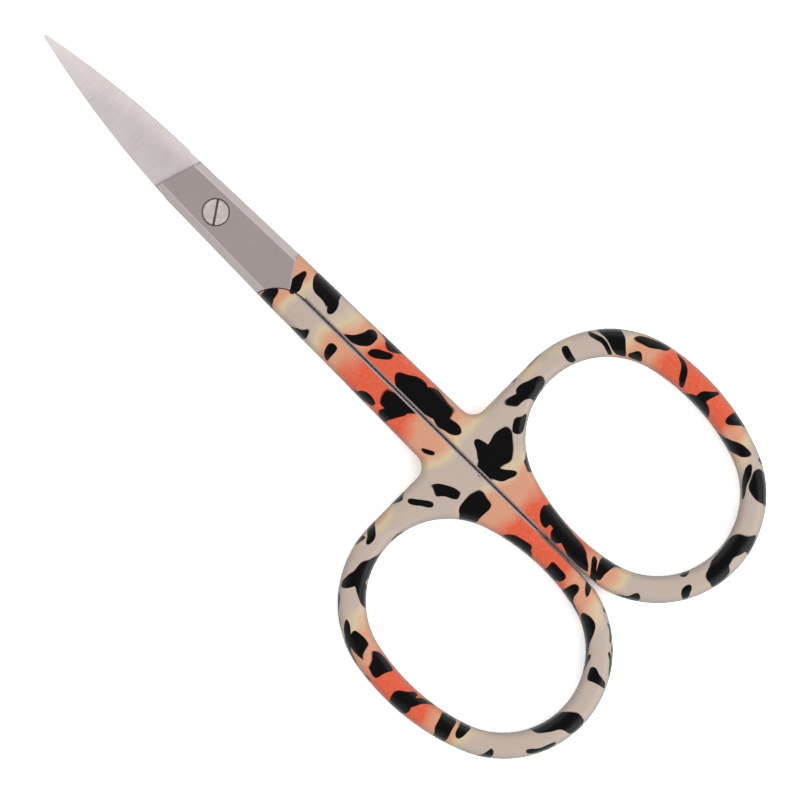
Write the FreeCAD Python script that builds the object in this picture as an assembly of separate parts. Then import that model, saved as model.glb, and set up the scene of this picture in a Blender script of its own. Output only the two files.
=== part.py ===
import FreeCAD, Part
import math
import os

# Cuticle scissors lying closed on a table, in millimetres.
# They are laid out from the pivot: +X to the tip, +Y to the rear half's bow, +Z to the screw head.
# The rear half lies under the front half where they cross, and both handles are as thick as the pair.

# Joint
plate_thickness = 1.7
plate_bevel = 0.8
root_half_width = 2.7
shoulder_half_width = 3.0
shoulder_back = 9.0
nose_radius = 4.0
lap_clearance = 0.06
parting_gap = 0.12
coat_line_run = 1.9

# Blades
tip_reach = 25.5
tip_round = 0.2
tip_half_width = 0.22
tip_lean = 0.6
root_reach = 3.0
spine_bulge = 0.55
edge_bulge = 0.4
crease_reach = 5.6
crease_slant = 17.0
curve_start = 6.5
curve_radius = 70.0
root_thickness = 1.45
tip_thickness = 0.5
crown_radius = 8.5
crown_offset = 0.7
edge_bevel_angle = 15.0
edge_land = 0.05
edge_station_count = 5

# Handles
shank_end_back = 33.0
shank_half_width = 3.35
bow_back = 49.3
bow_side = 11.7
bow_tilt = 5.5
bow_wall = 2.75
hole_half_length = 12.38
hole_half_width = 9.07
hole_end_radius = 8.55
hole_draw_in = 0.1
hole_tilt = 2.8
crotch_radius = 1.6
edge_round = 1.1
coat_bevel_count = 2
core_bevel_count = 1
coat_thickness = 0.15
bare_rim = 0.22
bare_rim_drop = 0.09

# Pivot screw
head_radius = 1.37
head_gap = 0.1
head_thickness = 0.8
head_rim = 0.1
seat_clearance = 0.03
screw_radius = 0.85
running_clearance = 0.04
thread_clearance = 0.02
end_recess = 0.1
slot_width = 0.26
slot_depth = 0.4
slot_angle = -56.0

# Margin by which cutting shapes stand past what they cut
spare = 6.0
far = 200.0

lap_level = plate_thickness
handle_thickness = 2 * plate_thickness
half_gap = parting_gap / 2
half_lap = lap_clearance / 2
nose_rise = nose_radius - shoulder_half_width + half_gap
nose_back = shoulder_back + math.sqrt(nose_radius ** 2 - nose_rise ** 2)
end_centre = hole_half_length - hole_end_radius
side_margin = hole_half_width - hole_end_radius
hole_side_radius = (end_centre ** 2 + hole_half_width ** 2 - hole_end_radius ** 2) / (2 * side_margin)
side_centre = hole_side_radius - hole_half_width
join_angle = math.degrees(math.atan2(side_centre, end_centre))
shank_slope = (shank_half_width - shoulder_half_width) / (shank_end_back - shoulder_back)
shank_stretch = math.hypot(1, shank_slope)
lengthwise = FreeCAD.Vector(1, 0, 0)
crosswise = FreeCAD.Vector(0, 1, 0)
upright = FreeCAD.Vector(0, 0, 1)


def at(x, y, z=0.0):
    return FreeCAD.Vector(x, y, z)


def polygon(points):
    return Part.makePolygon(points + points[:1])


def prism(wire, low, high):
    face = Part.Face(wire)
    face.translate(at(0, 0, low))
    return face.extrude(at(0, 0, high - low))


def block(x_low, x_high, y_low, y_high, z_low, z_high):
    return Part.makeBox(x_high - x_low, y_high - y_low, z_high - z_low, at(x_low, y_low, z_low))


def post(x, y, radius, low, high):
    return Part.makeCylinder(radius, high - low, at(x, y, low))


def turned_over(shape):
    """The same shape turned half round about the lengthwise line in the lap plane."""
    copy = shape.copy()
    copy.rotate(at(0, 0, lap_level), lengthwise, 180)
    return copy


def bulged_arc(start, end, bulge):
    """Arc between two points on one side of the centre line, standing out from its chord by the bulge."""
    middle = (start + end) / 2
    return Part.Arc(start, middle + crosswise * math.copysign(bulge, middle.y), end).toShape()


def on_hole(x, y):
    """Place in plan of a point given along and across the rear finger hole."""
    return FreeCAD.Rotation(upright, hole_tilt).multVec(at(x, y)) + at(-bow_back, bow_side - hole_draw_in)


def on_bow(x, y):
    """Place in plan of a point given along and across the outside of the rear bow."""
    return FreeCAD.Rotation(upright, bow_tilt).multVec(at(x, y)) + at(-bow_back, bow_side)


def arc_about(centre, radius, start, end):
    """Arc edge about a centre, between two angles in degrees."""
    points = []
    for angle in (start, (start + end) / 2, end):
        turn = math.radians(angle)
        points.append(centre + at(radius * math.cos(turn), radius * math.sin(turn)))
    return Part.Arc(*points).toShape()


def lifted(edges, level):
    outline = Part.Wire(edges)
    outline.translate(upright * level)
    return outline


def hole_outline(inset, level):
    """Finger hole of the rear bow, from two end arcs and two side arcs that run into each other."""
    end_radius = hole_end_radius + inset
    side_radius = hole_side_radius + inset
    front = hole_tilt + join_angle
    back = hole_tilt + 180 - join_angle
    return lifted([
        arc_about(on_hole(end_centre, 0), end_radius, front - 2 * join_angle, front),
        arc_about(on_hole(0, -side_centre), side_radius, front, back),
        arc_about(on_hole(-end_centre, 0), end_radius, back, back + 2 * join_angle),
        arc_about(on_hole(0, side_centre), side_radius, front + 180, back + 180),
    ], level)


def shank_edge(x):
    """Half width of the shank at a place behind the pivot."""
    return shoulder_half_width - shank_slope * (x + shoulder_back)


def handle_outline(inset, level):
    """Rear handle in plan: the bow's outside, then past the parting line and back along the shank."""
    end_radius = hole_end_radius + bow_wall - inset
    side_radius = hole_side_radius + bow_wall - inset
    corner_radius = crotch_radius + inset
    front = bow_tilt + join_angle
    back = bow_tilt + 180 - join_angle
    bow_front = on_bow(end_centre, 0)
    hidden_corner = on_bow(0, -hole_half_width - bow_wall - crotch_radius)
    hidden = arc_about(hidden_corner, corner_radius, bow_tilt + 90, bow_tilt)
    crotch_x = bow_front.x + hole_end_radius + bow_wall + crotch_radius
    crotch_corner = at(crotch_x, shank_edge(crotch_x) + crotch_radius * shank_stretch)
    crotch = arc_about(crotch_corner, corner_radius, 270 - math.degrees(math.atan(shank_slope)), 180)
    bow = [
        arc_about(bow_front, end_radius, 0, front),
        arc_about(on_bow(0, -side_centre), side_radius, front, back),
        arc_about(on_bow(-end_centre, 0), end_radius, back, back + 2 * join_angle),
        arc_about(on_bow(0, side_centre), side_radius, front + 180, bow_tilt + 270),
    ]
    past_parting = Part.makePolygon([
        hidden.Vertexes[-1].Point,
        hidden_corner + at(spare, -spare),
        at(0, -spare),
        at(0, shank_edge(0) - inset * shank_stretch),
        crotch.Vertexes[0].Point,
    ])
    bow_face = Part.makeLine(crotch.Vertexes[-1].Point, bow[0].Vertexes[0].Point)
    return lifted(bow + [hidden] + past_parting.Edges + [crotch, bow_face], level)


def rounding(radius, bevel_count):
    """Inset and depth of each corner between the narrow bevels that make up a rounded edge."""
    step = 90.0 / (bevel_count + 1)
    reach = radius / math.cos(math.radians(step / 2))
    corners = []
    for count in range(bevel_count + 1):
        angle = math.radians(step * (count + 0.5))
        corners.append((radius - reach * math.cos(angle), radius - reach * math.sin(angle)))
    return corners


def handle_blank(inset, bevel_count):
    """Rear handle before parting: shank and bow with rounded edges, drawn in all round by the inset."""
    low = inset
    high = handle_thickness - inset
    corners = rounding(edge_round - inset, bevel_count)
    stations = [(inset + draw, low + depth) for draw, depth in reversed(corners)]
    stations += [(inset + draw, high - depth) for draw, depth in corners]
    widest = stations[0][0]
    hole_stations = [(widest, low - spare)] + stations + [(widest, high + spare)]
    body = Part.makeLoft([handle_outline(draw, level) for draw, level in stations], True, True)
    hole = Part.makeLoft([hole_outline(draw, level) for draw, level in hole_stations], True, True)
    return body.cut(hole)


def nose_disc(side, grow):
    """Round shoulder of a handle, grown by a gap; side is 1 for the rear handle, -1 for the front one."""
    return post(-nose_back, side * (nose_radius + half_gap), nose_radius + grow, -far, far)


def behind_coat_line():
    """All that lies behind the slanting line where the rear half's coat ends on its joint plate."""
    slope = coat_line_run / shoulder_half_width
    front_x = slope * (far - shoulder_half_width) - shoulder_back
    back_x = slope * (-far - shoulder_half_width) - shoulder_back
    corners = [at(front_x, far), at(-3 * far, far), at(-3 * far, -far), at(back_x, -far)]
    return prism(polygon(corners), -far, far)


def parted(handle, inner_level):
    """The rear handle cut back to its inner face, with its shoulder above the lap and its plate below."""
    split = lap_level - half_lap
    bow_side_room = block(-far, -nose_back, inner_level, far, -far, far)
    shoulder = nose_disc(1, 0).common(block(-nose_back, far, inner_level, far, split, far))
    plate_root = block(-nose_back, far, -far, far, -far, split).cut(nose_disc(-1, parting_gap))
    front_room = shoulder.fuse(plate_root.common(behind_coat_line()))
    return handle.common(bow_side_room).fuse(handle.common(front_room)).removeSplitter()


def inner_edge_bevels():
    """Wedges along the inner face of the rear handle's steel, where the coat was ground away."""
    wedges = []
    margin_drop = spare * bare_rim_drop / bare_rim
    for level, outward in ((handle_thickness - coat_thickness, 1), (coat_thickness, -1)):
        corners = [
            at(-far, half_gap - spare, level - outward * (bare_rim_drop + margin_drop)),
            at(-far, half_gap + bare_rim + spare, level + outward * margin_drop),
            at(-far, half_gap - spare, level + outward * margin_drop),
        ]
        wedges.append(Part.Face(polygon(corners)).extrude(lengthwise * (far - nose_back)))
    return wedges


def half_outline(side):
    """Plan of a blade and its joint plate; side is 1 for the front half and -1 for the rear one."""
    tip_back = tip_reach - tip_round
    tail = -nose_back - spare
    spine_tip = at(tip_back, side * tip_half_width - tip_lean)
    edge_tip = at(tip_back, -side * tip_half_width - tip_lean)
    spine_line = [
        at(root_reach, side * root_half_width),
        at(-shoulder_back, side * shoulder_half_width),
        at(tail, side * shank_edge(tail)),
    ]
    edge_line = [
        at(tail, -side * shank_edge(tail)),
        at(-shoulder_back, -side * shoulder_half_width),
        at(root_reach, -side * root_half_width),
    ]
    spine = bulged_arc(spine_tip, spine_line[0], spine_bulge)
    edge = bulged_arc(edge_line[-1], edge_tip, edge_bulge)
    tip = Part.Arc(edge_tip, at(tip_reach, -tip_lean), spine_tip).toShape()
    sides = Part.makePolygon(spine_line + edge_line).Edges
    return Part.Wire([spine] + sides + [edge, tip]), edge


def beyond_crease(side):
    """All that lies on the tip's side of the step between joint plate and blade."""
    slant = side * far * math.tan(math.radians(crease_slant))
    corners = [
        at(crease_reach - slant, -far),
        at(3 * far, -far),
        at(3 * far, far),
        at(crease_reach + slant, far),
    ]
    return prism(polygon(corners), -far, far)


def plate_side_bevel(side):
    """Wedge that bevels the front joint plate's top edge on one side."""
    start = at(-shoulder_back, side * shoulder_half_width, handle_thickness)
    along = at(root_reach, side * root_half_width, handle_thickness) - start
    along.normalize()
    inward = at(along.y, -along.x) * side
    base = start - along * spare
    corners = [
        base + inward * (plate_bevel + spare) + upright * spare,
        base - inward * spare - upright * (plate_bevel + spare),
        base - inward * spare + upright * spare,
    ]
    return Part.Face(polygon(corners)).extrude(along * (shoulder_back + root_reach + 3 * spare))


def joint_plate():
    """Front joint plate, from the coat line to the crease, with its sides bevelled."""
    outline, edge = half_outline(1)
    plate = prism(outline, lap_level + half_lap, handle_thickness)
    plate = plate.cut(beyond_crease(1)).cut(nose_disc(1, parting_gap)).cut(turned_over(behind_coat_line()))
    return plate.cut(plate_side_bevel(1)).cut(plate_side_bevel(-1))


def lap_height(reach):
    """Level of the lap at a distance from the pivot: flat at the joint, then curving up to the tip."""
    run = max(0.0, reach - curve_start)
    return lap_level + curve_radius - math.sqrt(curve_radius ** 2 - run ** 2)


def past_lap(side):
    """Space on the other blade's side of the lap, turned about the pivot so that the blades slide clear."""
    radius = curve_radius - side * half_lap
    end_angle = math.asin((tip_reach + spare - curve_start) / curve_radius)
    centre_level = lap_level + curve_radius

    def on_curve(angle):
        return at(curve_start + radius * math.sin(angle), 0, centre_level - radius * math.cos(angle))

    end = on_curve(end_angle)
    curve = Part.Arc(on_curve(0), on_curve(end_angle / 2), end).toShape()
    far_level = lap_level - side * far
    line = [end, at(end.x, 0, far_level), at(0, 0, far_level), at(0, 0, on_curve(0).z), on_curve(0)]
    profile = Part.Face(Part.Wire([curve] + Part.makePolygon(line).Edges))
    return profile.revolve(at(0, 0), upright, 360)


def crown(side):
    """Ring whose waist is the crowned outer face of a blade, thinning from root to tip."""
    points = []
    for share in (0.0, 0.5, 1.0):
        reach = crease_reach + share * (tip_reach - crease_reach)
        thickness = root_thickness + share * (tip_thickness - root_thickness)
        points.append(at(reach, 0, lap_height(reach) + side * thickness))
    ridge = Part.Arc(*points).toShape().Curve
    middle = at(ridge.Center.x, -side * crown_offset, ridge.Center.z)
    span = crosswise * ((root_half_width + crown_offset + crown_radius) / 2)
    drop = crown_radius - math.sqrt(crown_radius ** 2 - span.y ** 2)
    waist = upright * ridge.Radius
    rim = upright * (ridge.Radius + side * drop)
    face_line = Part.Arc(middle + span - rim, middle - waist, middle - span - rim).toShape()
    back_line = Part.makePolygon([middle - span - rim, middle - span, middle + span, middle + span - rim])
    return Part.Face(Part.Wire([face_line] + back_line.Edges)).revolve(middle, crosswise, 360)


def edge_bevel(side, edge):
    """Steep bevel behind the cutting edge, following it from the root past the tip."""
    line = edge.discretize(Number=edge_station_count)
    line.append(line[-1] + (line[-1] - line[-2]))
    lean = spare * math.tan(math.radians(edge_bevel_angle))
    sections = []
    for point in line:
        foot = at(point.x, point.y, lap_height(point.Length) + side * (half_lap + edge_land))
        top = foot + upright * (side * spare)
        out = crosswise * (-side * spare)
        sections.append(polygon([foot, top + crosswise * (side * lean), top + out, foot + out]))
    return Part.makeLoft(sections, True)


def blade(side):
    """One blade from the crease to the tip; side is 1 for the front half and -1 for the rear one."""
    outline, edge = half_outline(side)
    body = prism(outline, lap_level - 2 * spare, lap_level + 2 * spare).common(beyond_crease(side))
    body = body.cut(past_lap(side))
    body = body.cut(crown(side)) if side > 0 else body.common(crown(side))
    return body.cut(edge_bevel(side, edge))


def front_half(handle):
    """Upper half: joint plate, blade and handle in one piece, with the screw's recess and running hole."""
    body = joint_plate().fuse([turned_over(handle), blade(1)]).removeSplitter()
    seat = handle_thickness - head_thickness - seat_clearance
    body = body.cut(post(0, 0, head_radius + head_gap, seat, far))
    return body.cut(post(0, 0, screw_radius + running_clearance, -far, far))


def rear_half(handle):
    """Lower half: joint plate, blade and handle in one piece, with the hole for the screw's thread."""
    body = turned_over(joint_plate()).fuse([handle, blade(-1)]).removeSplitter()
    return body.cut(post(0, 0, screw_radius + thread_clearance, -far, far))


def pivot_screw():
    """Slotted screw with a flat head, flush with the front joint plate."""
    under_head = handle_thickness - head_thickness
    head = post(0, 0, head_radius, under_head, handle_thickness)
    rim = [edge for edge in head.Edges if edge.BoundBox.ZMin > under_head + head_rim]
    head = head.makeChamfer(head_rim, rim)
    slot = block(-spare, spare, -slot_width / 2, slot_width / 2, handle_thickness - slot_depth, far)
    slot.rotate(at(0, 0), upright, slot_angle)
    return head.cut(slot).fuse(post(0, 0, screw_radius, end_recess, under_head)).removeSplitter()


def main():
    blank = handle_blank(0.0, coat_bevel_count)
    core_blank = handle_blank(coat_thickness, core_bevel_count)
    core = parted(core_blank, half_gap).cut(inner_edge_bevels())
    coat = parted(blank.cut(core_blank), half_gap + bare_rim)
    parts = {
        "front_half": front_half(core),
        "rear_half": rear_half(core),
        "pivot_screw": pivot_screw(),
        "front_handle_coating": turned_over(coat),
        "rear_handle_coating": coat,
    }
    # The row's origin is under the middle of the closed scissors, on the table.
    whole = Part.makeCompound(list(parts.values())).optimalBoundingBox(False)
    to_middle = at(-whole.Center.x, -whole.Center.y, -whole.ZMin)
    os.makedirs("parts", exist_ok=True)
    for name, shape in parts.items():
        shape.translate(to_middle)
        shape.exportStep("parts/" + name + ".step")
        box = shape.optimalBoundingBox(False)
        print(name, len(shape.Solids), shape.isValid(), round(shape.Volume, 3), box)
    print("pivot", to_middle)


main()
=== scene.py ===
import math

import bmesh
import bpy
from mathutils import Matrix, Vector


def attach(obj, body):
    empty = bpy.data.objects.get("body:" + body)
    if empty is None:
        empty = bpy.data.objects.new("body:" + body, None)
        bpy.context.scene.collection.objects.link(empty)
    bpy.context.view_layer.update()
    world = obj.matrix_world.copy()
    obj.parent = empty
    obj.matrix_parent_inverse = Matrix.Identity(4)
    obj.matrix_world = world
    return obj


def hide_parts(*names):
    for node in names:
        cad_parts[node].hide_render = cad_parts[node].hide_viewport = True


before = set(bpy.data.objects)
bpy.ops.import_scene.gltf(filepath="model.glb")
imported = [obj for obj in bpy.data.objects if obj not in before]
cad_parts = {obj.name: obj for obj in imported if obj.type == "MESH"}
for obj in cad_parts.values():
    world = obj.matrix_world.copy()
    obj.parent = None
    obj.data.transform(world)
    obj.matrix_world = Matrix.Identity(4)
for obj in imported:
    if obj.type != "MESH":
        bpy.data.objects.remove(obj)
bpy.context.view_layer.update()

# Places and sizes in millimetres, in the scissors' own frame: +X to the tips, +Z to the screw head
MM = 0.001
PIVOT_X = 19.456
LAP_LEVEL = 1.7
HANDLE_TOP = 3.4
CREASE_REACH = 5.6
CREASE_SLANT = 17.0
SHOULDER_BACK = 9.0
SHOULDER_HALF_WIDTH = 3.0
GAP_START = 3.4
PLATE_TAPER = 0.025
PLATE_BEVEL = 0.8
COAT_LINE_RUN = 1.9

# Joining of a piece's facets: points this near are one, and folds up to this angle, in degrees, are one skin
WELD = 0.0005
COAT_FOLD = 40.0
STEEL_FOLD = 25.0
FLAT_WEIGHT = 90

# View: straight down from far off, with the tips to the upper left; the clip distances are in metres
VIEW_TURN = -135.4
VIEW_X = -7.79
VIEW_Y = 0.45
VIEW_SPAN = 82.99
VIEW_HEIGHT = 1000.0
SENSOR = 36.0
CLIP_START = 0.01
CLIP_END = 10.0

# Inks of the print, as linear colours
CREAM = (0.587, 0.482, 0.415)
SAND = (0.74, 0.60, 0.38)
PEACH = (0.765, 0.36, 0.22)
ORANGE = (0.825, 0.122, 0.052)
BLACK_INK = (0.003, 0.0025, 0.0025)
# The teal and grey below are partly thinned ink and partly painted reflection and painted shade on the rounded
# sides
TEAL_INK_AND_SHEEN = (0.15, 0.178, 0.174)
THIN_INK_AND_SHADE = (0.34, 0.345, 0.33)
MOTTLE_INK = (0.90, 0.62, 0.50)

# Orange bands across the handles, and how the ink pales with the distance from the middle of a band.
# A grain is given by its marks a millimetre and its fineness, and a span by where its effect starts and ends
BAND_MIDDLES = (-29.1, -6.0, 16.0)
BAND_INKS = (
    (0.0, ORANGE), (3.6, ORANGE), (5.2, PEACH), (7.2, PEACH), (8.3, SAND), (9.4, CREAM), (20.0, CREAM),
)
BAND_DRIFT = 3.0
BAND_DRIFT_GRAIN = (0.16, 2.0)
MOTTLE_GRAIN = (3.0, 4.0)
MOTTLE_SPAN = (0.35, 0.75)
MOTTLE_SHARE = 0.10

# Blotches of the print: spacing, least and greatest half length, the same of the half width, shift of the layer
SPOTS = (4.4, (0.8, 2.4), (0.36, 1.0), 18.9)
BARS = (8.4, (2.3, 4.3), (0.55, 1.45), 64.2)
SQUARENESS = 2.4
SCATTER = 0.6
SHIFT_ACROSS = 0.6
BORDER_REACH = 1.3
BORDER_RUN = 0.8
BORDER_BLEND = 0.6
LAYER_BLEND = 0.5
INK_START = 1.1
INK_FULL = 0.9
PRINT_WARP = 1.7
PRINT_WARP_GRAIN = (0.28, 0.6)

# The print is laid on the top and wrapped down the sides; there it thins, and its grey on the pale inks and
# teal on the black are also painted shade and painted reflection of the rounded sides, by the height from the
# middle level
PRINT_PLACE = "print_place"
WRAP_DEPTH = 1.7
THIN_AND_SHADE_FULL = 0.8
THIN_AND_SHADE_START = 1.65
THIN_AND_SHEEN_DARK_SHARE = 0.85
THIN_AND_SHADE_PALE_SHARE = 0.5

# Lacquer over the print; a bump is given by its strength and its height in millimetres
LACQUER_SHINE = 0.22
LACQUER_ROUGHNESS = (0.13, 0.10)
HAZE_GRAIN = (1.4, 3.0)
PEEL_GRAIN = (2.2, 2.0)
INK_RELIEF = 0.3
PEEL_BUMP = (0.12, 0.02)

# Steels, each as its duller and its cleaner colour, and then its least roughness and what its grain adds
PLATE_STEEL = ((0.525, 0.445, 0.43), (0.585, 0.50, 0.485))
PLATE_ROUGHNESS = (0.42, 0.1)
# The blade's steel is set much brighter than the plate's: partly its ground finish, partly painted light on its
# tilted faces
BLADE_STEEL = ((0.80, 0.73, 0.715), (0.88, 0.81, 0.795))
BLADE_ROUGHNESS = (0.44, 0.14)
SCREW_STEEL = ((0.79, 0.71, 0.69), (0.90, 0.82, 0.80))
SCREW_ROUGHNESS = (0.40, 0.16)
# A lighter steel painted on the plate's bevels and edges as highlights
HIGHLIGHT_STEEL = (0.86, 0.81, 0.79)
CREASE_SHADE = (0.20, 0.165, 0.155)
# Painted shade for the gap between the handles
GAP_SHADE = (0.03, 0.025, 0.024)
SLOT_SHADE = (0.10, 0.085, 0.08)

# Painted highlight and shade lines on the steel: half widths, how far past the edge a line's middle lies, and
# how strongly each shows
LINE_SOFTNESS = 0.5
BEVEL_LINE = 0.06
BEVEL_HIGHLIGHT_SHARE = 0.33
COAT_LINE = 0.08
HIGHLIGHT_LINE_SHARE = 0.55
CREASE_LINE = 0.11
CREASE_LINE_PAST = 0.02
CREASE_SHARE = 0.3
GAP_LINE = 0.13
GAP_SHARE = 0.9
GAP_START_RUN = 0.3
SLOT_SHARE = 0.8
BLADE_START_SOFTNESS = 0.04

# Depths below the top of the handles between which the gap's painted shade fades in and the slot's shade fades
# out
GAP_DEPTHS = (0.4, 0.2)
SLOT_DEPTHS = (0.3, 0.08)

# Grinding marks and grain, as marks a millimetre along each axis, and rings a millimetre on the screw
BLADE_MARKS = (7.0, 0.5, 1.0)
BLADE_MARKS_TURN = 12.0
BLADE_GRAIN = (0.35, 9.0, 3.0)
BLADE_MARKS_FINENESS = 4.0
BLADE_GRAIN_FINENESS = 5.0
BRUSHED_SHARES = (0.5, 0.2, 0.3)
BRUSHED_SPAN = (0.35, 0.65)
SPECK_GRAIN = (7.0, 3.0)
SPECK_SPAN = (0.3, 0.7)
CLOUD_GRAIN = (0.35, 3.0)
SMEAR_GRAIN = (2.5, 4.0)
SMEAR_SPAN = (0.35, 0.7)
TURNING_RINGS = 60.0
RING_RELIEF = 0.3
GROUND_BUMP = (0.25, 0.006)
TURNED_BUMP = (0.25, 0.008)

# Floor, in metres, and its tone to light, to the camera and in reflections
FLOOR_HALF = 3.0
FLOOR_LEVEL = -0.02 * MM
FLOOR_TONE = 0.5
FLOOR_SEEN_GAIN = 1.8
FLOOR_MIRRORED_GAIN = 0.5

# Room light: level at the horizon, gain above it, loss straight above and loss on the rear half's side,
# with the parts of the unit sphere that each one spans
HORIZON_LEVEL = 0.55
UPPER_GAIN = 0.45
UPPER_SPAN = (0.0, 0.5)
ZENITH_LOSS = 0.75
ZENITH_SPAN = (0.86, 0.99)
REAR_LOSS = 0.25
REAR_SPAN = (-0.4, 0.6)

# Soft boxes: place and size in metres, power in watts, colour
HIGH_SOFT_BOX = ((-0.6, -0.2, 0.7), 0.7, 1.3, (1.0, 0.98, 0.96))
LOW_SOFT_BOX = ((-0.75, -0.1, 0.32), 0.6, 1.2, (0.84, 0.95, 1.0))


class Reading:
    """A value, colour or vector read from a socket; arithmetic on it adds the Math nodes that work it out."""

    def __init__(self, finish, socket):
        self.finish = finish
        self.socket = socket

    def worked(self, operation, first, second=0.0, third=0.0):
        return self.finish.node("ShaderNodeMath", {"operation": operation}, {0: first, 1: second, 2: third})

    def __add__(self, other):
        return self.worked("ADD", self, other)

    def __radd__(self, other):
        return self.worked("ADD", other, self)

    def __sub__(self, other):
        return self.worked("SUBTRACT", self, other)

    def __rsub__(self, other):
        return self.worked("SUBTRACT", other, self)

    def __mul__(self, other):
        return self.worked("MULTIPLY", self, other)

    def __rmul__(self, other):
        return self.worked("MULTIPLY", other, self)

    def __truediv__(self, other):
        return self.worked("DIVIDE", self, other)

    def __pow__(self, other):
        return self.worked("POWER", self, other)

    def __abs__(self):
        return self.worked("ABSOLUTE", self)

    def sine(self):
        return self.worked("SINE", self)

    def lesser(self, other, blend=0.0):
        return self.worked("SMOOTH_MIN", self, other, blend)

    def greater(self, other, blend=0.0):
        return self.worked("SMOOTH_MAX", self, other, blend)


class Finish:
    """A material or world and the nodes that make it."""

    def __init__(self, owner):
        owner.use_nodes = True
        self.owner = owner
        self.tree = owner.node_tree
        self.tree.nodes.clear()

    def node(self, kind, settings=None, sockets=None, output=0):
        made = self.tree.nodes.new(kind)
        for name, value in (settings or {}).items():
            if name == "stops":
                self.set_stops(made.color_ramp.elements, value)
            else:
                setattr(made, name, value)
        for name, value in (sockets or {}).items():
            if isinstance(value, Reading):
                self.tree.links.new(value.socket, made.inputs[name])
            else:
                made.inputs[name].default_value = value
        return Reading(self, made.outputs[output]) if made.outputs else None

    def set_stops(self, elements, stops):
        while len(elements) < len(stops):
            elements.new(1.0)
        for element, (place, colour) in zip(elements, stops):
            element.position = place
            element.color = (*colour, 1.0)

    def other(self, reading, output):
        """Another output of the node that a reading came from."""
        return Reading(self, reading.socket.node.outputs[output])

    def place(self):
        """Place on the object, in millimetres."""
        position = self.node("ShaderNodeTexCoord", output="Object")
        return self.stretched(position, (1 / MM, 1 / MM, 1 / MM))

    def stretched(self, place, scale, turn=0.0):
        return self.node("ShaderNodeMapping", {"vector_type": "POINT"},
                         {"Vector": place, "Scale": scale, "Rotation": (0.0, 0.0, math.radians(turn))})

    def split(self, vector):
        first = self.node("ShaderNodeSeparateXYZ", sockets={0: vector})
        return first, self.other(first, 1), self.other(first, 2)

    def split_colour(self, colour):
        first = self.node("ShaderNodeSeparateColor", sockets={0: colour})
        return first, self.other(first, 1), self.other(first, 2)

    def noise(self, place, scale, detail, output=0):
        return self.node("ShaderNodeTexNoise", {"noise_dimensions": "3D"},
                         {"Vector": place, "Scale": scale, "Detail": detail}, output)

    def cells(self, place, spacing, feature, output):
        return self.node("ShaderNodeTexVoronoi", {"voronoi_dimensions": "2D", "feature": feature},
                         {"Vector": place, "Scale": 1 / spacing, "Randomness": SCATTER}, output)

    def rise(self, value, low, high):
        """0 below the low value, 1 above the high one, and an even curve between."""
        return self.node("ShaderNodeMapRange", {"interpolation_type": "SMOOTHSTEP"},
                         {"Value": value, "From Min": low, "From Max": high})

    def line(self, distance, half_width):
        """1 on a line and 0 away from it, by the distance from its middle."""
        soft = LINE_SOFTNESS * half_width
        return 1 - self.rise(abs(distance), half_width - soft, half_width + soft)

    def vector(self, operation, first, second):
        return self.node("ShaderNodeVectorMath", {"operation": operation}, {0: first, 1: second})

    def mix(self, factor, first, second):
        first = first if isinstance(first, Reading) else (*first, 1.0)
        second = second if isinstance(second, Reading) else (*second, 1.0)
        return self.node("ShaderNodeMix", {"data_type": "RGBA"}, {0: factor, 6: first, 7: second}, 2)

    def bump(self, height, strength, distance):
        return self.node("ShaderNodeBump", sockets={
            "Height": height, "Strength": strength, "Distance": distance * MM})

    def surface(self, shader):
        is_world = isinstance(self.owner, bpy.types.World)
        kind = "ShaderNodeOutputWorld" if is_world else "ShaderNodeOutputMaterial"
        self.node(kind, sockets={"Surface": shader})
        return self.owner


def blotches(finish, place, spacing, lengths, widths, shift):
    """How far a place is from the middle of its blotch, as a share of the way to the blotch's border."""
    moved = finish.vector("ADD", place, (shift, SHIFT_ACROSS * shift, 0.0))
    chance = finish.cells(moved, spacing, "F1", "Color")
    turn, length, width = finish.split_colour(chance)
    offset = finish.vector("SUBTRACT", moved, finish.other(chance, "Position"))
    turned = finish.node("ShaderNodeVectorRotate", {"rotation_type": "Z_AXIS"},
                         {"Vector": offset, "Angle": turn * (2 * math.pi)})
    along, across, up = finish.split(turned)
    half_length = length * (lengths[1] - lengths[0]) + lengths[0]
    half_width = width * (widths[1] - widths[0]) + widths[0]
    reach = (abs(along) / half_length) ** SQUARENESS + (abs(across) / half_width) ** SQUARENESS
    from_neighbour = finish.cells(moved, spacing, "DISTANCE_TO_EDGE", "Distance") * spacing
    return reach.greater(BORDER_REACH - from_neighbour / BORDER_RUN, BORDER_BLEND)


def print_bands(finish, flat):
    """Ground of the print: orange bands that pale through peach and sand to cream."""
    x, y, z = finish.split(flat)
    x = x + (finish.noise(flat, *BAND_DRIFT_GRAIN) - 0.5) * (2 * BAND_DRIFT)
    away = abs(x - BAND_MIDDLES[0])
    for middle in BAND_MIDDLES[1:]:
        away = away.lesser(abs(x - middle))
    end = BAND_INKS[-1][0]
    stops = [(distance / end, ink) for distance, ink in BAND_INKS]
    ground = finish.node("ShaderNodeValToRGB", {"stops": stops}, {0: away / end})
    mottle = finish.noise(flat, *MOTTLE_GRAIN)
    return finish.mix(finish.rise(mottle, *MOTTLE_SPAN) * MOTTLE_SHARE, ground, MOTTLE_INK)


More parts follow.
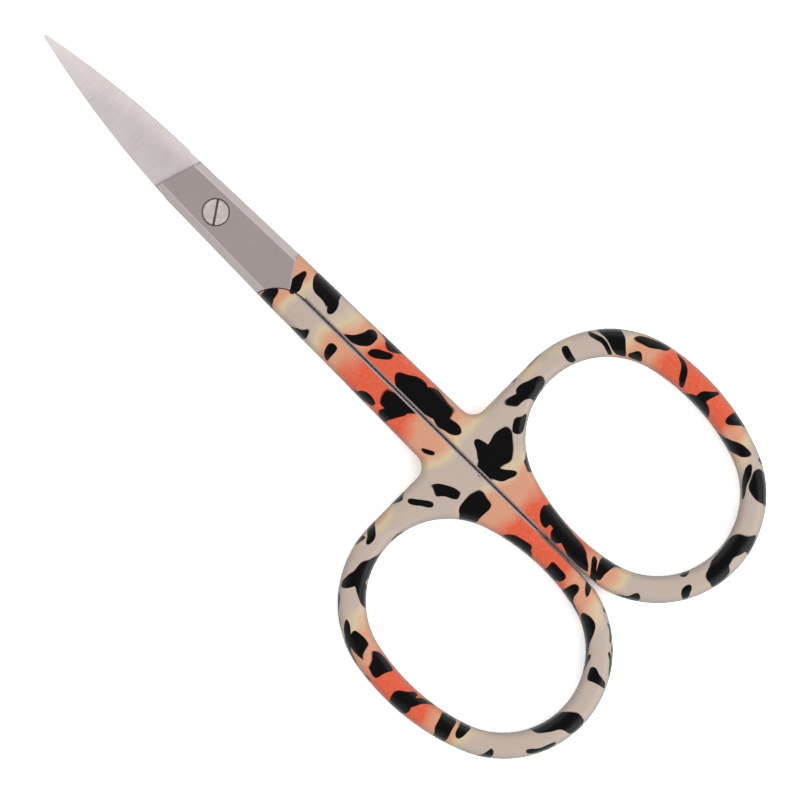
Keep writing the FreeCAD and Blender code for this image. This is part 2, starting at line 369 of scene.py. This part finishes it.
def printed_coat():
    """Glossy lacquer over an animal print: black blotches on bands of cream, sand, peach and orange."""
    finish = Finish(bpy.data.materials.new("printed_coat"))
    place = finish.place()
    x, y, z = finish.split(place)
    sheet = finish.node("ShaderNodeAttribute", {"attribute_name": PRINT_PLACE}, output="Vector")
    flat = finish.stretched(sheet, (1 / MM, 1 / MM, 1 / MM))
    wave = finish.noise(flat, *PRINT_WARP_GRAIN, "Color")
    wave = finish.vector("SUBTRACT", wave, (0.5, 0.5, 0.5))
    bent = finish.vector("ADD", flat, finish.vector("MULTIPLY", wave, (2 * PRINT_WARP, 2 * PRINT_WARP, 0.0)))
    reach = blotches(finish, bent, *SPOTS).lesser(blotches(finish, bent, *BARS), LAYER_BLEND)
    ink = 1 - finish.rise(reach, INK_FULL, INK_START)

    # On the sloping sides the print is stretched thin and shows grey; the grey on the pale inks is also painted
    # shade of the rounded sides, and the teal on the black is painted reflection
    thin_and_shaded = 1 - finish.rise(abs(z - LAP_LEVEL), THIN_AND_SHADE_FULL, THIN_AND_SHADE_START)
    dark = finish.mix(thin_and_shaded * THIN_AND_SHEEN_DARK_SHARE, BLACK_INK, TEAL_INK_AND_SHEEN)
    pale = finish.mix(thin_and_shaded * THIN_AND_SHADE_PALE_SHARE, print_bands(finish, flat), THIN_INK_AND_SHADE)

    haze = finish.noise(place, *HAZE_GRAIN)
    peel = finish.noise(place, *PEEL_GRAIN)
    return finish.surface(finish.node("ShaderNodeBsdfPrincipled", sockets={
        "Base Color": finish.mix(ink, pale, dark),
        "Roughness": LACQUER_ROUGHNESS[0] + haze * LACQUER_ROUGHNESS[1],
        "Specular IOR Level": LACQUER_SHINE,
        "Normal": finish.bump(peel + ink * INK_RELIEF, *PEEL_BUMP),
    }))


def ground_steel(name, side):
    """Ground steel: a fine even grain on the joint plate and grinding marks across the blade, whose steel is
    set much brighter than the plate's partly as painted light on its tilted faces.
    """
    finish = Finish(bpy.data.materials.new(name))
    place = finish.place()
    x, y, z = finish.split(place)
    from_pivot = x - PIVOT_X
    from_crease = (from_pivot - CREASE_REACH) - side * math.tan(math.radians(CREASE_SLANT)) * y
    from_shoulder = from_pivot + SHOULDER_BACK
    from_coat = from_shoulder + (COAT_LINE_RUN / SHOULDER_HALF_WIDTH) * (side * y + SHOULDER_HALF_WIDTH)
    from_bevel = abs(y) + PLATE_TAPER * from_shoulder - (SHOULDER_HALF_WIDTH - PLATE_BEVEL)
    blade = finish.rise(from_crease, -BLADE_START_SOFTNESS, BLADE_START_SOFTNESS)

    marks = finish.noise(finish.stretched(place, BLADE_MARKS, BLADE_MARKS_TURN), 1.0, BLADE_MARKS_FINENESS)
    grain = finish.noise(finish.stretched(place, BLADE_GRAIN), 1.0, BLADE_GRAIN_FINENESS)
    speck = finish.noise(place, *SPECK_GRAIN)
    cloud = finish.noise(place, *CLOUD_GRAIN)
    brushed = marks * BRUSHED_SHARES[0] + grain * BRUSHED_SHARES[1] + cloud * BRUSHED_SHARES[2]
    plate_colour = finish.mix(finish.rise(speck, *SPECK_SPAN), *PLATE_STEEL)
    blade_colour = finish.mix(finish.rise(brushed, *BRUSHED_SPAN), *BLADE_STEEL)

    # The plate's bevels are lightened, and thin lines along their inner border and along the coat's edge more
    # so: painted highlights. The foot of the crease is darkened: painted shade.
    highlight_lines = finish.line(from_bevel, BEVEL_LINE).greater(finish.line(from_coat - COAT_LINE, COAT_LINE))
    bevel = finish.rise(from_bevel, 0.0, BEVEL_LINE)
    plate_colour = finish.mix(bevel * BEVEL_HIGHLIGHT_SHARE, plate_colour, HIGHLIGHT_STEEL)
    plate_colour = finish.mix(highlight_lines * HIGHLIGHT_LINE_SHARE, plate_colour, HIGHLIGHT_STEEL)
    colour = finish.mix(blade, plate_colour, blade_colour)
    # Painted shade at the foot of the crease
    crease = finish.line(from_crease - CREASE_LINE_PAST, CREASE_LINE)
    colour = finish.mix(crease * CREASE_SHARE, colour, CREASE_SHADE)

    # Painted shade in the narrow gap between the handles
    near_top = finish.rise(z, HANDLE_TOP - GAP_DEPTHS[0], HANDLE_TOP - GAP_DEPTHS[1])
    in_gap = finish.line(y, GAP_LINE) * near_top
    in_gap = in_gap * (1 - finish.rise(from_shoulder + GAP_START, -GAP_START_RUN, 0.0))
    colour = finish.mix(in_gap * GAP_SHARE, colour, GAP_SHADE)

    plate_roughness = PLATE_ROUGHNESS[0] + speck * PLATE_ROUGHNESS[1]
    blade_roughness = BLADE_ROUGHNESS[0] + brushed * BLADE_ROUGHNESS[1]
    return finish.surface(finish.node("ShaderNodeBsdfPrincipled", sockets={
        "Base Color": colour,
        "Metallic": 1.0,
        "Roughness": plate_roughness * (1 - blade) + blade_roughness * blade,
        "Normal": finish.bump(speck * (1 - blade) + brushed * blade, *GROUND_BUMP),
    }))


def turned_steel():
    """Bright steel of the screw, with the rings left by turning."""
    finish = Finish(bpy.data.materials.new("turned_steel"))
    place = finish.place()
    x, y, z = finish.split(place)
    radius = ((x - PIVOT_X) ** 2 + y ** 2) ** 0.5
    in_slot = 1 - finish.rise(z, HANDLE_TOP - SLOT_DEPTHS[0], HANDLE_TOP - SLOT_DEPTHS[1])
    smear = finish.noise(place, *SMEAR_GRAIN)
    colour = finish.mix(finish.rise(smear, *SMEAR_SPAN), *SCREW_STEEL)
    return finish.surface(finish.node("ShaderNodeBsdfPrincipled", sockets={
        "Base Color": finish.mix(in_slot * SLOT_SHARE, colour, SLOT_SHADE),
        "Metallic": 1.0,
        "Roughness": SCREW_ROUGHNESS[0] + smear * SCREW_ROUGHNESS[1],
        "Normal": finish.bump((radius * TURNING_RINGS).sine() * RING_RELIEF + smear, *TURNED_BUMP),
    }))


def lay_print(shell):
    """Place of each point on the flat print sheet, which is laid on the top and wrapped down the sides."""
    shell.normal_update()
    sheet = shell.verts.layers.float_vector.new(PRINT_PLACE)
    for point in shell.verts:
        depth = min(HANDLE_TOP * MM - point.co.z, WRAP_DEPTH * MM)
        point[sheet] = (point.co.x + depth * point.normal.x, point.co.y + depth * point.normal.y, 0.0)


def skinned(node, name, body, finish, fold, printed=False):
    """A copy of a piece with its facets joined and shaded as one skin, standing for that piece."""
    shell = bmesh.new()
    shell.from_mesh(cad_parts[node].data)
    bmesh.ops.remove_doubles(shell, verts=shell.verts, dist=WELD * MM)
    if printed:
        lay_print(shell)
    for face in shell.faces:
        face.smooth = True
        face.material_index = 0
    for edge in shell.edges:
        edge.smooth = edge.calc_face_angle(math.pi) < math.radians(fold)
    mesh = bpy.data.meshes.new(name)
    shell.to_mesh(mesh)
    shell.free()
    raw = bpy.data.objects.new(name + "_raw", mesh)
    bpy.context.scene.collection.objects.link(raw)
    even = raw.modifiers.new("even_shade", "WEIGHTED_NORMAL")
    even.keep_sharp = True
    even.weight = FLAT_WEIGHT
    shaded = raw.evaluated_get(bpy.context.evaluated_depsgraph_get())
    piece = bpy.data.objects.new(name, bpy.data.meshes.new_from_object(shaded))
    bpy.data.objects.remove(raw)
    piece.data.materials.clear()
    piece.data.materials.append(finish)
    bpy.context.scene.collection.objects.link(piece)
    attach(piece, body)
    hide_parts(node)
    return piece


def floor():
    """Plain pale floor that keeps the shadow and shows white to the camera."""
    finish = Finish(bpy.data.materials.new("pale_floor"))
    seen = finish.node("ShaderNodeLightPath", output="Is Camera Ray")
    mirrored = finish.other(seen, "Is Glossy Ray") + finish.other(seen, "Is Transmission Ray")
    tone = FLOOR_TONE + FLOOR_SEEN_GAIN * seen + FLOOR_MIRRORED_GAIN * mirrored
    finish.surface(finish.node("ShaderNodeBsdfDiffuse", sockets={"Color": tone}))
    corners = [(-1, -1), (1, -1), (1, 1), (-1, 1)]
    mesh = bpy.data.meshes.new("floor")
    mesh.from_pydata([(x * FLOOR_HALF, y * FLOOR_HALF, FLOOR_LEVEL) for x, y in corners], [], [(0, 1, 2, 3)])
    mesh.materials.append(finish.owner)
    plane = bpy.data.objects.new("floor", mesh)
    bpy.context.scene.collection.objects.link(plane)


def sky():
    """Soft room light: dark straight above, brightest on the front half's side, and white to the camera."""
    world = bpy.data.worlds.new("studio")
    bpy.context.scene.world = world
    finish = Finish(world)
    seen = finish.node("ShaderNodeLightPath", output="Is Camera Ray")
    x, y, z = finish.split(finish.node("ShaderNodeTexCoord", output="Generated"))
    level = HORIZON_LEVEL + UPPER_GAIN * finish.rise(z, *UPPER_SPAN)
    level = level * (1 - ZENITH_LOSS * finish.rise(z, *ZENITH_SPAN))
    level = level * (1 - REAR_LOSS * finish.rise(y, *REAR_SPAN))
    level = level * (1 - seen) + seen
    finish.surface(finish.node("ShaderNodeBackground", sockets={
        "Color": (1.0, 1.0, 1.0, 1.0), "Strength": level}))


def lamp(name, place, size, power, colour):
    """Square soft box turned to the scissors."""
    light = bpy.data.lights.new(name, "AREA")
    light.shape = "SQUARE"
    light.color = colour
    light.size = size
    light.energy = power
    lamp_object = bpy.data.objects.new(name, light)
    lamp_object.location = place
    lamp_object.rotation_euler = Vector(place).to_track_quat("Z", "Y").to_euler()
    lamp_object.visible_camera = False
    bpy.context.scene.collection.objects.link(lamp_object)


def camera():
    """Camera of the main view."""
    lens = bpy.data.cameras.new("camera")
    lens.sensor_width = SENSOR
    lens.lens = SENSOR * VIEW_HEIGHT / VIEW_SPAN
    lens.clip_start = CLIP_START
    lens.clip_end = CLIP_END
    view = bpy.data.objects.new("camera", lens)
    view.location = (VIEW_X * MM, VIEW_Y * MM, (VIEW_HEIGHT + LAP_LEVEL) * MM)
    view.rotation_euler = (0.0, 0.0, math.radians(VIEW_TURN))
    bpy.context.scene.collection.objects.link(view)
    bpy.context.scene.camera = view


coat = printed_coat()
front_steel = ground_steel("front_steel", 1)
rear_steel = ground_steel("rear_steel", -1)
skinned("front_half", "front_blade_and_shank", "front", front_steel, STEEL_FOLD)
skinned("rear_half", "rear_blade_and_shank", "rear", rear_steel, STEEL_FOLD)
skinned("pivot_screw", "slotted_screw", "rear", turned_steel(), STEEL_FOLD)
skinned("front_handle_coating", "front_printed_coat", "front", coat, COAT_FOLD, True)
skinned("rear_handle_coating", "rear_printed_coat", "rear", coat, COAT_FOLD, True)
floor()
sky()
lamp("high_soft_box", *HIGH_SOFT_BOX)
lamp("low_soft_box", *LOW_SOFT_BOX)
camera()
bpy.context.scene.view_settings.view_transform = "Standard"
